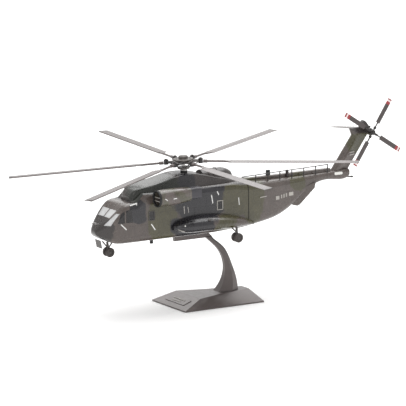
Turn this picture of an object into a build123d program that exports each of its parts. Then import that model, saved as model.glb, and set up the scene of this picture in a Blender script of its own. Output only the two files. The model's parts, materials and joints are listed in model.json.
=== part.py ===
from build123d import *
import os

os.makedirs("parts", exist_ok=True)

# Heavy-lift helicopter display model on a desk stand, 1:72, millimetres.
# Stand pieces are drawn about the centre of the base's underside.
# Airframe pieces are drawn about the main rotor hub: +X to the nose, +Y to port, +Z up.

# ---- driving dimensions ----------------------------------------------------
HUB_X, HUB_Z = 23.5, 127.4          # rotor hub above the centre of the base's underside
RUNNING_FIT = 0.05                  # radial clearance of every shaft that turns

BASE_LENGTH, BASE_WIDTH, BASE_HEIGHT = 79.5, 58.0, 8.3
BASE_LIP, BASE_WALL = 1.0, 2.0

WALL = 1.4                          # thickness of the fuselage skin
CABIN_HALF, CABIN_RADIUS, CABIN_INNER_RADIUS = 18.7, 5.5, 3.0
BELLY_Z, ROOF_Z, COCKPIT_ROOF_Z = -63.2, -21.0, -28.4
CABIN_END_BELLY_Z = -61.8
NOSE_X, CABIN_END_X, BOOM_END_X = 90.2, -42.0, -167.6

MAIN_RADIUS, MAIN_CHORD, MAIN_BLADE_ROOT = 152.4, 8.4, 41.0
MAIN_BLADES, MAIN_PHASE, MAST_TILT = 6, -31.3, 2.6
BLADE_PITCH = 1.0
BLADE_DROOPS = (3.0, 1.1, -0.2, 2.8, 1.1, -1.0)  # each blade hangs loose on its own hinge pin
HINGE_RADIUS = 15.0
MAST_RADIUS, MAST_DEPTH = 1.5, 19.0

TAIL_HUB = (-187.8, 10.4, 8.0)
TAIL_RADIUS, TAIL_CHORD, TAIL_BLADES, TAIL_PHASE = 33.7, 4.2, 4, 123.5
TAIL_SHAFT_RADIUS = 1.0

WHEEL_RADIUS, TYRE_WIDTH, AXLE_RADIUS = 4.2, 2.4, 0.7
NOSE_AXLE = (75.5, 0.0, -72.1)
MAIN_AXLE = (-37.8, 26.8, -67.3)
WHEEL_SPACING = 5.2

PEG_RADIUS, PEG_DEPTH = 1.5, 6.0
PEG_XS = (6.0, -8.0)
BAR_TOP_Z, BAR_BOTTOM_Z, BAR_WIDTH = -65.2, -70.0, 3.6
NACELLE_X, NACELLE_Y, NACELLE_Z = 39.6, 24.6, -25.3
SPONSON_Y = 20.0

HUB_FRAME = Location((HUB_X, 0, HUB_Z))
MAST_FRAME = Location((0, 0, 0), (0, MAST_TILT, 0))
SIDE_VIEW = Plane.XZ                # sketch x is world x, sketch y is world z


# ---- helpers ---------------------------------------------------------------
def save(name, *shapes, frame=HUB_FRAME):
    """Write one sub-part; several separate solids make a group."""
    solids = [solid for shape in shapes for solid in shape.solids()]
    whole = solids[0] if len(solids) == 1 else Compound(solids)
    export_step(whole.moved(frame), f"parts/{name}.step")


def side_plate(points, y_low, y_high):
    """A plate parallel to the side view between two y positions."""
    face = make_face(Polyline(*[(x, y_low, z) for x, z in points], close=True))
    return extrude(face, amount=y_high - y_low, dir=(0, 1, 0))


def rod(start, end, radius):
    """A straight round rod between two points."""
    start, end = Vector(*start), Vector(*end)
    plane = Plane(origin=start, z_dir=end - start)
    return extrude(plane * Circle(radius), amount=(end - start).length)


def block(x_range, y_range, z_range):
    """A box from three ranges."""
    lows = [min(limits) for limits in (x_range, y_range, z_range)]
    sizes = [abs(limits[1] - limits[0]) for limits in (x_range, y_range, z_range)]
    return Pos(*lows) * Box(*sizes, align=(Align.MIN, Align.MIN, Align.MIN))


def mirrored(shape):
    """The starboard twin of a port piece."""
    return mirror(shape, about=Plane.XZ)


def section(x, y, z, width, height, radius):
    """A rounded rectangle across the X axis."""
    plane = Plane(origin=(x, y, z), x_dir=(0, 1, 0), z_dir=(1, 0, 0))
    return plane * RectangleRounded(width, height, radius)


def ellipse_section(x, y, z, half_width, half_height):
    """An ellipse across the X axis."""
    plane = Plane(origin=(x, y, z), x_dir=(0, 1, 0), z_dir=(1, 0, 0))
    return plane * Ellipse(half_width, half_height)


# ---- stand -----------------------------------------------------------------
BASE_HALF_X, BASE_HALF_Y = BASE_LENGTH / 2, BASE_WIDTH / 2
BASE_TOP_FRONT, BASE_TOP_WAIST, BASE_TOP_REAR = (20.1, 21.0), (-3.0, 13.0), (-38.0, 6.0)


def base_outline(z, corners):
    """A six-sided outline, mirrored across the centre line."""
    port = [(x, y, z) for x, y in corners]
    starboard = [(x, -y, z) for x, y in reversed(corners)]
    return make_face(Polyline(*port, *starboard, close=True))


def base_block(inset):
    """The faceted wedge block of the base; inset shrinks it for the hollow underneath."""
    front, waist, rear = BASE_TOP_FRONT, BASE_TOP_WAIST, BASE_TOP_REAR
    half_x, half_y = BASE_HALF_X - inset, BASE_HALF_Y - inset
    low = [(half_x, half_y), (waist[0], half_y), (-half_x, half_y)]
    top = [(front[0] - inset / 2, front[1] - inset), (waist[0], waist[1] - inset),
           (rear[0] + inset, rear[1] - inset)]
    lip = extrude(base_outline(0, low), amount=BASE_LIP)
    wedge = loft([base_outline(BASE_LIP, low), base_outline(BASE_HEIGHT - inset, top)], ruled=True)
    return lip + wedge


PLATE_THICKNESS, PLATE_INSET = 1.2, 4.0
SCREW_SPOTS = [(x, y) for x in (-26.0, 26.0) for y in (-18.0, 18.0)]
SCREW_HEAD_RADIUS, SCREW_HEAD_HEIGHT, SCREW_SHANK_RADIUS = 1.6, 0.8, 0.8
SCREW_LENGTH, BOSS_RADIUS = 2.4, 2.4


def plate_pocket(low, high):
    """The rectangle that the bottom plate fills, between two heights."""
    half_x, half_y = BASE_HALF_X - PLATE_INSET, BASE_HALF_Y - PLATE_INSET
    return block((-half_x, half_x), (-half_y, half_y), (low, high))


def bottom_plate():
    """The flat plate that closes the hollow, with countersinks for its screws."""
    plate = plate_pocket(0, PLATE_THICKNESS)
    for x, y in SCREW_SPOTS:
        plate -= Pos(x, y, 0) * Cylinder(SCREW_HEAD_RADIUS, 2 * SCREW_HEAD_HEIGHT)
        plate -= Pos(x, y, 0) * Cylinder(SCREW_SHANK_RADIUS, 4 * PLATE_THICKNESS)
    return plate


def base_screw(x, y):
    """One plate screw with a flat head."""
    head = rod((x, y, 0), (x, y, SCREW_HEAD_HEIGHT), SCREW_HEAD_RADIUS)
    return head + rod((x, y, SCREW_HEAD_HEIGHT), (x, y, SCREW_LENGTH), SCREW_SHANK_RADIUS)


def screw_post(x, y):
    """The boss inside the shell that a plate screw bites into."""
    post = rod((x, y, PLATE_THICKNESS), (x, y, BASE_HEIGHT), BOSS_RADIUS)
    return post - rod((x, y, 0), (x, y, SCREW_LENGTH), SCREW_SHANK_RADIUS)


def base_shell():
    """The hollow casting: faceted outside, rebate for the plate and screw bosses."""
    outside = base_block(0)
    bosses = Part() + [screw_post(x, y) & outside for x, y in SCREW_SPOTS]
    shell = outside - Pos(0, 0, -0.01) * base_block(BASE_WALL) + bosses
    return shell - plate_pocket(-1, PLATE_THICKNESS)


ARM_STATIONS = (                     # z, front x, rear x, half-width, all from the rotor hub
    (-70.0, -21.7, -28.0, 1.8),
    (-77.7, -29.9, -36.9, 1.9),
    (-86.6, -36.7, -43.6, 2.0),
    (-96.9, -39.7, -47.9, 2.3),
    (-106.5, -38.8, -51.2, 3.3),
    (-113.5, -35.9, -52.6, 4.6),
    (BASE_HEIGHT - HUB_Z, -31.4, -53.2, 6.2),
)


def arm_section(z, front, rear, half):
    """One level cut of the arm: blunt in front, widest ahead of the middle, narrow behind."""
    middle = front + 0.62 * (rear - front)
    port = [(front, 0.8 * half), (middle, half), (rear, 0.3 * half)]
    points = [(x, y, z) for x, y in port] + [(x, -y, z) for x, y in reversed(port)]
    return make_face(Polyline(*points, close=True))


def cradle_bar():
    """The bar under the belly, with chamfered lower edges."""
    points = [(10.4, BAR_TOP_Z), (10.4, BAR_BOTTOM_Z), (-28.0, BAR_BOTTOM_Z), (-23.0, BAR_TOP_Z)]
    bar = side_plate(points, -BAR_WIDTH / 2, BAR_WIDTH / 2)
    long_edges = bar.edges().filter_by(Axis.X).sort_by(Axis.Z)[:2]
    return chamfer(long_edges, 0.9)


def support_peg(x):
    """A shouldered peg: it stands on the bar and its collar carries the belly."""
    collar = rod((x, 0, BAR_TOP_Z), (x, 0, BELLY_Z), 2.6)
    return collar + rod((x, 0, BELLY_Z), (x, 0, BELLY_Z + PEG_DEPTH), PEG_RADIUS)


SLOPE_RUN = BASE_HALF_X - BASE_TOP_FRONT[0]
SLOPE_RISE = BASE_HEIGHT - BASE_LIP


def title_plate():
    """The blank plate on the front slope of the base."""
    middle = (BASE_HALF_X - SLOPE_RUN / 2, 0, BASE_LIP + SLOPE_RISE / 2)
    slope = Plane(origin=middle, x_dir=(0, 1, 0), z_dir=(SLOPE_RISE, 0, SLOPE_RUN))
    return extrude(slope * RectangleRounded(32.0, 9.0, 0.8), amount=0.4)


def build_stand():
    """Every piece of the stand."""
    base_frame = Location((0, 0, 0))
    save("base_shell", base_shell(), frame=base_frame)
    save("base_bottom_plate", bottom_plate(), frame=base_frame)
    save("base_screws", *[base_screw(x, y) for x, y in SCREW_SPOTS], frame=base_frame)
    save("title_plate", title_plate(), frame=base_frame)
    save("stand_arm", loft([arm_section(*station) for station in ARM_STATIONS]))
    save("cradle_bar", cradle_bar())
    save("support_pegs", *[support_peg(x) for x in PEG_XS])


# ---- fuselage --------------------------------------------------------------
TAIL_STATIONS = (                    # x, half-width, top z, underside z, corner radius
    (CABIN_END_X + 1.5, 18.55, -21.15, -61.65, 5.4),
    (-62.0, 17.6, -23.0, -60.6, 6.0),
    (-85.0, 14.4, -24.2, -57.2, 5.5),
    (-105.0, 10.8, -24.5, -49.0, 4.8),
    (-129.0, 7.2, -24.5, -34.2, 3.4),
    (-147.0, 5.6, -24.2, -31.2, 2.8),
    (BOOM_END_X, 4.2, -23.8, -30.2, 2.4),
)


BROW_LIP = (72.4, -33.0)            # where the windshield meets the cockpit roof
NOSE_BREAK = (2.6, -48.0)           # set-back from the nose tip, height of the windshield's foot


def cabin_side(inset):
    """The side view of nose and cabin."""
    nose, belly = NOSE_X - inset, BELLY_Z + inset
    brow, roof = COCKPIT_ROOF_Z - inset, ROOF_Z - inset
    end_belly = CABIN_END_BELLY_Z + inset
    lip = (BROW_LIP[0] - inset, BROW_LIP[1])
    foot = (nose - NOSE_BREAK[0], NOSE_BREAK[1])
    slope = (lip[0] - foot[0], lip[1] - foot[1])
    outline = [
        Spline((CABIN_END_X, end_belly), (-10.0, belly), tangents=[(1, -0.1), (1, 0)]),
        Line((-10.0, belly), (70.0, belly)),
        Spline((70.0, belly), (82.0, belly + 2.6), (nose, -52.5), foot, tangents=[(1, 0), slope]),
        Line(foot, lip),
        Spline(lip, (69.0 - inset, brow - 1.8), (62.0, brow),
               tangents=[(-1, 1), (-1, 0)], tangent_scalars=(0.5, 0.8)),
        Polyline((62.0, brow), (58.0 - inset, brow), (50.0 - inset, roof), (CABIN_END_X, roof),
                 (CABIN_END_X, end_belly)),
    ]
    return make_face([SIDE_VIEW * edge for edge in outline])


def cabin_plan(inset):
    """The plan view of nose and cabin."""
    half, nose = CABIN_HALF - inset, NOSE_X + 0.8 - inset
    rounding = Spline((64.0, -half), (80.0, 4.2 - half), (nose, 0.0), (80.0, half - 4.2),
                      (64.0, half), tangents=[(1, 0), (-1, 0)])
    walls = Polyline((64.0, half), (CABIN_END_X, half), (CABIN_END_X, -half), (64.0, -half))
    return make_face([rounding, walls])


def is_long_corner(edge):
    """True for the edges that run lengthwise between side walls and roof or belly."""
    box = edge.bounding_box()
    crosses = box.min.Y < 0.1 and box.max.Y > -0.1
    upright = box.size.X < 0.01 and box.size.Y < 0.01
    return box.max.X > CABIN_END_X + 0.1 and not crosses and not upright


def cabin(inset=0.0, radius=CABIN_RADIUS):
    """Nose and cabin: side view times plan view, with rounded long corners."""
    side = extrude(cabin_side(inset), amount=2 * CABIN_HALF, both=True)
    plan = Pos(0, 0, 2 * BELLY_Z) * extrude(cabin_plan(inset), amount=-3 * BELLY_Z)
    body = side & plan
    corners = [edge for edge in body.edges() if is_long_corner(edge)]
    return fillet(corners, radius)


def tail_cone(inset=0.0):
    """The tapering rear fuselage and boom."""
    sections = []
    for x, half, top, low, radius in TAIL_STATIONS:
        middle, height = (top + low) / 2, top - low
        sections.append(section(x, 0, middle, 2 * (half - inset), height - 2 * inset, radius - inset))
    return loft(sections)


def prism(points, direction, depth):
    """A straight prism through the skin, from points listed round its outline."""
    return extrude(make_face(Polyline(*points, close=True)), amount=depth, dir=direction)


def front_panes():
    """Cutters of the two windshield panes, side by side."""
    panes = []
    for side in (1, -1):
        outline = [(y * side, z) for y, z in ((0.7, -34.2), (11.6, -34.2), (9.8, -40.3), (0.7, -40.3))]
        panes.append(prism([(68.0, y, z) for y, z in outline], (1, 0, 0), 25.0))
    return panes


QUARTER_VIEW = (0.75, 0.66)          # level direction that the corner panes face
QUARTER_ORIGIN = (70.0, 13.0)


def quarter_panes():
    """Cutters of the corner panes between windshield and side windows."""
    panes = []
    for side in (1, -1):
        forward, out = QUARTER_VIEW[0], QUARTER_VIEW[1] * side
        view = Plane(origin=(QUARTER_ORIGIN[0], QUARTER_ORIGIN[1] * side, 0),
                     x_dir=(-out, forward, 0), z_dir=(forward, out, 0))
        outline = Polyline(*[(across * side, z) for across, z in
                             ((0.6, -36.2), (-2.6, -36.2), (-13.0, -46.5), (-6.4, -46.5))], close=True)
        panes.append(extrude(view * make_face(outline), amount=16.0))
    return panes


def side_panes():
    """Cutters of the sliding side windows of the cockpit, two panes on each side."""
    front = ((76.0, -44.6), (73.0, -36.8), (69.4, -34.0), (69.4, -44.6))
    rear = ((68.2, -44.6), (68.2, -33.6), (62.4, -33.6), (61.6, -44.6))
    panes = []
    for side in (1, -1):
        for outline in (front, rear):
            panes.append(prism([(x, 14.5 * side, z) for x, z in outline], (0, side, 0), 8.0))
    return panes


CHIN_VIEW = ((77.5, 2.2), (87.5, 2.2), (85.5, 8.5), (77.5, 10.5))


def chin_panes():
    """Cutters of the chin windows, cut straight down through the underside of the nose."""
    panes = []
    for side in (1, -1):
        panes.append(prism([(x, y * side, -53.5) for x, y in CHIN_VIEW], (0, 0, -1), 12.0))
    return panes


CABIN_WINDOW_XS = (42.8, -25.4)
CABIN_WINDOW_SIZE = (5.0, 7.2)
CABIN_WINDOW_ZS = (-40.8, -38.8)


def cabin_panes():
    """Cutters of the cabin side windows."""
    panes = []
    for x, z in zip(CABIN_WINDOW_XS, CABIN_WINDOW_ZS):
        pane = Pos(x, 0, z) * Box(CABIN_WINDOW_SIZE[0], 3 * CABIN_HALF, CABIN_WINDOW_SIZE[1])
        panes.append(fillet(pane.edges().filter_by(Axis.Y), 1.0))
    return panes


def peg_hole(x):
    """The hole in the belly for one support peg."""
    return rod((x, 0, BELLY_Z - 1), (x, 0, BELLY_Z + PEG_DEPTH + 0.4), PEG_RADIUS + RUNNING_FIT)


def peg_socket(x):
    """The boss inside the belly that holds one support peg."""
    low, high = BELLY_Z + WALL, BELLY_Z + PEG_DEPTH + 2.0
    return rod((x, 0, low), (x, 0, high), 3.4) - peg_hole(x)


# ---- upper deck ------------------------------------------------------------
DECK_SEAM_Z = -29.0
FAIRING_STATIONS = (                 # x, top z, half-width at the seam, half-width on top
    (58.0, -24.8, 8.5, 6.0),
    (55.0, -20.2, 11.2, 8.6),
    (46.0, -16.8, 14.2, 11.0),
    (25.0, -12.8, 16.0, 12.0),
    (1.0, -9.6, 15.8, 11.0),
    (-22.0, -14.0, 14.6, 10.6),
    (-51.0, -22.4, 9.0, 7.8),
)


def fairing_section(x, top, half_low, half_top):
    """One cut across the cowling: leaning sides and rounded shoulders."""
    plane = Plane(origin=(x, 0, 0), x_dir=(0, 1, 0), z_dir=(1, 0, 0))
    outline = make_face(Polyline((-half_low, DECK_SEAM_Z), (half_low, DECK_SEAM_Z),
                                 (half_top, top), (-half_top, top), close=True))
    shoulders = outline.vertices().sort_by(Axis.Y)[-2:]
    return plane * fillet(shoulders, 2.2)


def rotor_fairing(fuselage):
    """The long gearbox cowling on the roof, peaked under the mast."""
    return loft([fairing_section(*station) for station in FAIRING_STATIONS]) - fuselage


def cooler_hump(fairing):
    """The domed cooler outlet behind the mast, with raised rings."""
    profile = [Polyline((-48, 0), (-16, 0), (-16, 8), (-36, 8)),
               Spline((-36, 8), (-44.5, 5.6), (-48, 0), tangents=[(-1, 0), (0, -1)])]
    body = revolve(make_face(profile), Axis.X)
    for x in (-22.0, -27.0, -32.0):
        body += Pos(x, 0, 0) * Rot(0, 90, 0) * Cylinder(8.4, 1.4)
    return Pos(0, 0, -17.3) * body - fairing


NACELLE_RADIUS = 7.2
NACELLE_STATIONS = (                 # x, centre z, width, height, corner radius
    (NACELLE_X, NACELLE_Z, 2 * NACELLE_RADIUS, 2 * NACELLE_RADIUS, 7.0),
    (25.2, -24.8, 14.4, 14.2, 6.0),
    (9.2, -24.1, 11.2, 11.0, 3.6),
)
EXHAUST_STATIONS = ((9.2, -23.8, 10.2, 10.2, 3.0), (-1.2, -23.5, 9.6, 9.8, 2.2))
INTAKE_RADIUS, INTAKE_DEPTH = 5.9, 10.0


def nacelle(fuselage, fairing):
    """The port engine nacelle with its open intake and two mounting stubs."""
    body = loft([section(x, NACELLE_Y, z, w, h, r) for x, z, w, h, r in NACELLE_STATIONS])
    body += block((13, 18), (12, NACELLE_Y - 3), (-25.0, -20.5))
    body += block((28, 33), (12, NACELLE_Y - 4), (-26.0, -20.5))
    mouth = (NACELLE_X - INTAKE_DEPTH, NACELLE_Y, NACELLE_Z)
    body -= rod(mouth, (NACELLE_X + 3, NACELLE_Y, NACELLE_Z), INTAKE_RADIUS)
    return body - fuselage - fairing


def exhaust_duct():
    """The port exhaust box, open to the rear."""
    body = loft([section(x, NACELLE_Y, z, w, h, r) for x, z, w, h, r in EXHAUST_STATIONS])
    x, z = EXHAUST_STATIONS[-1][:2]
    hollow = section(x - 0.6, NACELLE_Y, z, 7.4, 7.4, 1.6)
    return body - extrude(hollow, amount=8.0)


def intake_ring(fuselage):
    """The rounded lip round the port intake mouth."""
    centre = Plane(origin=(NACELLE_X, NACELLE_Y, NACELLE_Z), x_dir=(0, 1, 0), z_dir=(1, 0, 0))
    ring = extrude(centre * (Circle(NACELLE_RADIUS) - Circle(INTAKE_RADIUS)), amount=2.0)
    outer = ring.edges().filter_by(GeomType.CIRCLE).sort_by(Axis.X)[-2:]
    return fillet(outer, 0.55) - fuselage


def intake_core():
    """The bullet in the port intake with four struts to its wall."""
    centre = (NACELLE_X - INTAKE_DEPTH, NACELLE_Y, NACELLE_Z)
    bullet = rod(centre, (NACELLE_X - 3.0, NACELLE_Y, NACELLE_Z), 2.4)
    bullet = fillet(bullet.edges().sort_by(Axis.X)[-1:], 2.0)
    spokes = Pos(*centre) * Box(1.0, 2 * INTAKE_RADIUS - 0.1, 0.9, align=(Align.MIN,) + (Align.CENTER,) * 2)
    spokes += Pos(*centre) * Box(1.0, 0.9, 2 * INTAKE_RADIUS - 0.1, align=(Align.MIN,) + (Align.CENTER,) * 2)
    return bullet + Pos(3.0, 0, 0) * spokes


SPONSON_STATIONS = (                 # x, half-width, centre z, half-height
    (22.4, 1.8, -53.6, 1.8),
    (17.6, 6.4, -53.2, 4.4),
    (4.0, 10.8, -52.6, 6.8),
    (-14.0, 12.8, -52.4, 7.0),
    (-30.0, 11.6, -53.4, 6.2),
    (-45.0, 7.8, -55.0, 4.2),
    (-58.0, 2.6, -57.4, 1.6),
)


def sponson(fuselage):
    """The port fuel sponson, flush against the cabin side."""
    stations = [ellipse_section(x, SPONSON_Y, z, w, h) for x, w, z, h in SPONSON_STATIONS]
    return loft(stations) - fuselage


# ---- tail ------------------------------------------------------------------
def fin_section(z, leading, trailing, thickness):
    """A level streamlined cut through the pylon."""
    chord = leading - trailing
    nose = leading - 0.3 * chord
    edges = [Spline((leading, 0), (nose, thickness / 2), (trailing, 0.5), tangents=[(0, 1), (-1, -0.05)]),
             Line((trailing, 0.5), (trailing, -0.5)),
             Spline((trailing, -0.5), (nose, -thickness / 2), (leading, 0),
                    tangents=[(1, -0.05), (0, 1)])]
    return Pos(0, 0, z) * make_face(edges)


def tail_pylon(fuselage):
    """The swept fin that carries the tail rotor, with a crown that juts forward."""
    swept = loft([fin_section(-29.0, -147.0, -164.4, 6.0), fin_section(5.5, -172.2, -189.0, 4.6)])
    crown = loft([fin_section(5.5, -172.2, -189.0, 4.6), fin_section(12.1, -169.8, -192.4, 4.2)])
    return swept + crown - fuselage


def stabiliser():
    """The tapered tailplane on the starboard side of the fin, drooping outwards."""
    def cut(y, z, leading, chord, thickness):
        half = thickness / 2
        points = [(leading, y, z), (leading - 0.25 * chord, y, z + half),
                  (leading - chord, y, z + 0.2), (leading - chord, y, z - 0.2),
                  (leading - 0.25 * chord, y, z - half)]
        return make_face(Polyline(*points, close=True))
    return loft([cut(-2.0, 11.0, -173.0, 14.0, 1.6), cut(-42.0, 6.0, -175.5, 8.6, 0.9)], ruled=True)


def gearbox(pylon):
    """The tail gearbox housing, with a bore for the rotor shaft and a cap ahead of it."""
    x, y, z = TAIL_HUB
    housing = rod((x, 0, z), (x, y - 3.0, z), 3.2)
    cap = side_plate([(-180.6, 11.0), (-181.6, 15.6), (-184.4, 18.0), (-186.4, 16.4), (-192.0, 9.4),
                      (-191.4, 6.0)], -1.9, 1.9)
    bore = rod((x, 1.5, z), (x, y, z), TAIL_SHAFT_RADIUS + RUNNING_FIT)
    body = fillet(cap.edges().filter_by(Axis.Y), 0.6) + housing
    return body - pylon - bore


def tail_bumper():
    """The sprung skid under the end of the boom."""
    bar = rod((-149.5, 0, -30.2), (-172.0, 0, -31.8), 0.65)
    tip = Pos(-172.4, 0, -31.8) * Box(1.8, 2.2, 1.3)
    return bar + tip


STRAKE_OUTLINE = ((-100.0, -44.0), (-106.0, -49.0), (-110.6, -50.2), (-113.4, -49.2), (-128.6, -36.0),
                  (-129.8, -31.0), (-118.0, -34.0))
STRAKE_Y, STRAKE_THICKNESS = 8.0, 1.0
RAMP_X, RAMP_HALF_WIDTH, RAMP_THICKNESS = (-127.0, -106.0), 6.2, 0.6


def ramp_strake(side, fuselage):
    """One fence plate beside the rear ramp."""
    middle = side * STRAKE_Y
    low, high = middle - STRAKE_THICKNESS / 2, middle + STRAKE_THICKNESS / 2
    return side_plate(STRAKE_OUTLINE, low, high) - fuselage


def cargo_ramp():
    """The closed rear ramp between the fences, a thin door on the sloping underside."""
    door = block(RAMP_X, (-RAMP_HALF_WIDTH, RAMP_HALF_WIDTH), (2 * BELLY_Z, -31.0))
    return (tail_cone(-RAMP_THICKNESS) & door) - tail_cone()


# ---- small fittings --------------------------------------------------------
RAIL_START, RAIL_END = (-51.0, 13.6, -17.4), (-145.0, 4.2, -17.4)
RAIL_POSTS, FIRST_POST = 7, 0.16     # the first post stands this far along the rail
SPINE_X, SPINE_HALF_WIDTH, SPINE_TOP_Z = (-46.0, -149.0), 2.2, -21.5


def antenna_rail(fuselage):
    """The wire antenna along the boom: a thin rail on a row of posts."""
    start, end = Vector(*RAIL_START), Vector(*RAIL_END)
    rail = rod(start, end, 0.4)
    for index in range(RAIL_POSTS):
        share = FIRST_POST + (1 - FIRST_POST) * index / (RAIL_POSTS - 1)
        top = start + (end - start) * (share * 0.995)
        rail += rod(tuple(top), (top.X, top.Y, -27.0), 0.5)
    return rail - fuselage


def shaft_cover(fuselage, fairing):
    """The raised spine that covers the tail rotor's drive shaft."""
    spine = block(SPINE_X, (-SPINE_HALF_WIDTH, SPINE_HALF_WIDTH), (SPINE_TOP_Z - 5.0, SPINE_TOP_Z))
    shoulders = spine.edges().filter_by(Axis.X).sort_by(Axis.Z)[-2:]
    return fillet(shoulders, 1.2) - fuselage - fairing


def blade_antennas(fuselage):
    """Small antennas, one on the spine and one under the belly."""
    top = block((-87.3, -83.9), (-1.0, 1.0), (SPINE_TOP_Z, -16.9))
    belly = block((34.6, 37.0), (4.2, 6.2), (-68.2, BELLY_Z + 1))
    return [top, belly - fuselage]


def beacons(fuselage, spine):
    """The anti-collision lamps beside the spine and under the belly."""
    top = rod((-103.7, 2.6, ROOF_Z - 5), (-103.7, 2.6, -18.0), 1.4)
    top = fillet(top.edges().sort_by(Axis.Z)[-1:], 1.0)
    low = rod((52, 0, BELLY_Z + 1), (52, 0, BELLY_Z - 1.6), 1.4)
    return [top - fuselage - spine, low - fuselage]


def side_lamps(fuselage):
    """The formation lamps, a long oval on each side of the boom."""
    lamps = []
    for side in (1, -1):
        oval = Plane(origin=(-155.4, 3.4 * side, -26.4), x_dir=(1, 0, 0), z_dir=(0, side, 0))
        lamps.append(extrude(oval * SlotOverall(8.4, 2.4), amount=2.0) - fuselage)
    return lamps


def grab_rails(fuselage):
    """The hand holds beside the cockpit roof, one on each side."""
    rails = []
    for side in (1, -1):
        y = side * 17.0
        bar = rod((63.5, y, -30.2), (56.5, y, -28.6), 0.5)
        bar += rod((57.0, y, -28.7), (56.3, y, -34.5), 0.5)
        bar += rod((63.0, y, -30.3), (63.0, side * 13.5, -33.0), 0.5)
        rails.append(bar - fuselage)
    return rails


def nose_probes():
    """The pitot probes at the tip of the nose."""
    probes = []
    for side in (1, -1):
        tube = rod((86.0, side * 2.6, -46.2), (90.4, side * 3.4, -45.6), 0.45)
        probes.append(tube)
    return probes


# ---- cockpit ---------------------------------------------------------------
FLOOR_Z = -54.0


def cockpit_tub(inner):
    """The cockpit floor, rear bulkhead, instrument panel and centre console."""
    floor = block((44, 82), (-17, 17), (FLOOR_Z, FLOOR_Z + 1.2))
    bulkhead = block((44, 45.2), (-17, 17), (FLOOR_Z, -30))
    panel = side_plate([(80.0, FLOOR_Z), (80.8, -47.6), (76.6, -46.4), (75.4, -52.0), (76.5, FLOOR_Z)], -13, 13)
    console = block((62, 76), (-2, 2), (FLOOR_Z, FLOOR_Z + 4.5))
    return (floor + bulkhead + panel + console) & inner


def crew_seat(side):
    """One crew seat: pan, back and head rest."""
    y = 8.2 * side
    base = FLOOR_Z + 1.2
    seat = block((60, 68), (y - 3.6, y + 3.6), (base, base + 4.6))
    seat += side_plate([(62.0, base + 4.6), (60.0, base + 4.6), (57.6, -36.8), (59.4, -36.8)], y - 3.6, y + 3.6)
    return seat


# ---- undercarriage ---------------------------------------------------------
def twin_axle(centre):
    """One axle with its two wheel hubs."""
    x, y, z = centre
    reach = (WHEEL_SPACING + TYRE_WIDTH) / 2
    axle = rod((x, y - reach, z), (x, y + reach, z), AXLE_RADIUS)
    for side in (1, -1):
        start = y + side * (WHEEL_SPACING - TYRE_WIDTH) / 2
        axle += rod((x, start, z), (x, y + side * (reach - 0.4), z), WHEEL_RADIUS * 0.52)
    return axle


def tyre(centre, side):
    """One tyre with rounded shoulders, pressed on its hub."""
    x, y, z = centre
    start = y + side * (WHEEL_SPACING - TYRE_WIDTH) / 2
    end = start + side * TYRE_WIDTH
    body = rod((x, start, z), (x, end, z), WHEEL_RADIUS)
    body = fillet(body.edges().filter_by(GeomType.CIRCLE), 0.8)
    return body - rod((x, start - side, z), (x, end + side, z), WHEEL_RADIUS * 0.52)


def axle_eye(centre):
    """The eye at the lower end of a strut, before it is bored."""
    x, y, z = centre
    return rod((x, y - 1.1, z), (x, y + 1.1, z), 1.6)


def axle_bore(centre):
    """The bore that an axle turns in."""
    x, y, z = centre
    return rod((x, y - 3, z), (x, y + 3, z), AXLE_RADIUS + RUNNING_FIT)


def nose_strut():
    """The nose leg, with its drag brace crossing behind it."""
    x, y, z = NOSE_AXLE
    leg = rod((x, y, z), (x + 1.2, y, BELLY_Z), 1.05)
    brace = rod((x + 0.3, y, z + 3.4), (x + 6.0, y, BELLY_Z + 1.2), 0.6)
    rear = rod((x + 0.3, y, z + 3.4), (x - 4.5, y, BELLY_Z), 0.6)
    return leg + brace + rear + axle_eye(NOSE_AXLE) - axle_bore(NOSE_AXLE)


def main_strut():
    """The port main leg with its side brace."""
    x, y, z = MAIN_AXLE
    leg = rod((x, y, z), (x + 0.4, y - 0.4, -57.4), 1.05)
    brace = rod((x + 0.2, y - 0.2, z + 4.4), (x + 4.6, y - 1.6, -58.4), 0.6)
    return leg + brace + axle_eye(MAIN_AXLE) - axle_bore(MAIN_AXLE)


def nose_gear_door():
    """The small door that hangs ahead of the nose leg."""
    points = [(85.6, -60.4), (86.4, -60.0), (84.8, -67.4), (84.0, -67.4)]
    return side_plate(points, -4.4, 4.4)


# ---- main rotor ------------------------------------------------------------
HUB_PLATE_RADIUS = 6.4


def ring_of(shape, count, phase=0.0):
    """Copies of a shape turned about the mast."""
    return [Rot(0, 0, phase + index * 360 / count) * shape for index in range(count)]


def rotor_mast():
    """The mast with its thrust collar above the bearing."""
    shaft = rod((0, 0, -MAST_DEPTH), (0, 0, -1.6), MAST_RADIUS)
    return shaft + rod((0, 0, -8.3), (0, 0, -7.2), 3.0)


def hub_plate():
    """The round plate at the middle of the hub."""
    return rod((0, 0, -1.6), (0, 0, 0.9), HUB_PLATE_RADIUS)


def hub_arm():
    """One arm of the hub, reaching to its hinge."""
    return block((4.0, HINGE_RADIUS - 1.6), (-1.3, 1.3), (-1.2, 0.6))


def rotor_hub():
    """The hub plate with its six arms."""
    plate = hub_plate()
    for arm in ring_of(hub_arm(), MAIN_BLADES, MAIN_PHASE):
        plate += arm
    return plate


def beanie_cap():
    """The round cap over the hub."""
    cap = rod((0, 0, 0.9), (0, 0, 2.3), 8.8)
    cap = fillet(cap.edges().filter_by(GeomType.CIRCLE), 0.6)
    crown = rod((0, 0, 2.3), (0, 0, 4.9), 4.2)
    return cap + fillet(crown.edges().sort_by(Axis.Z)[-1:], 1.2)


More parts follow.
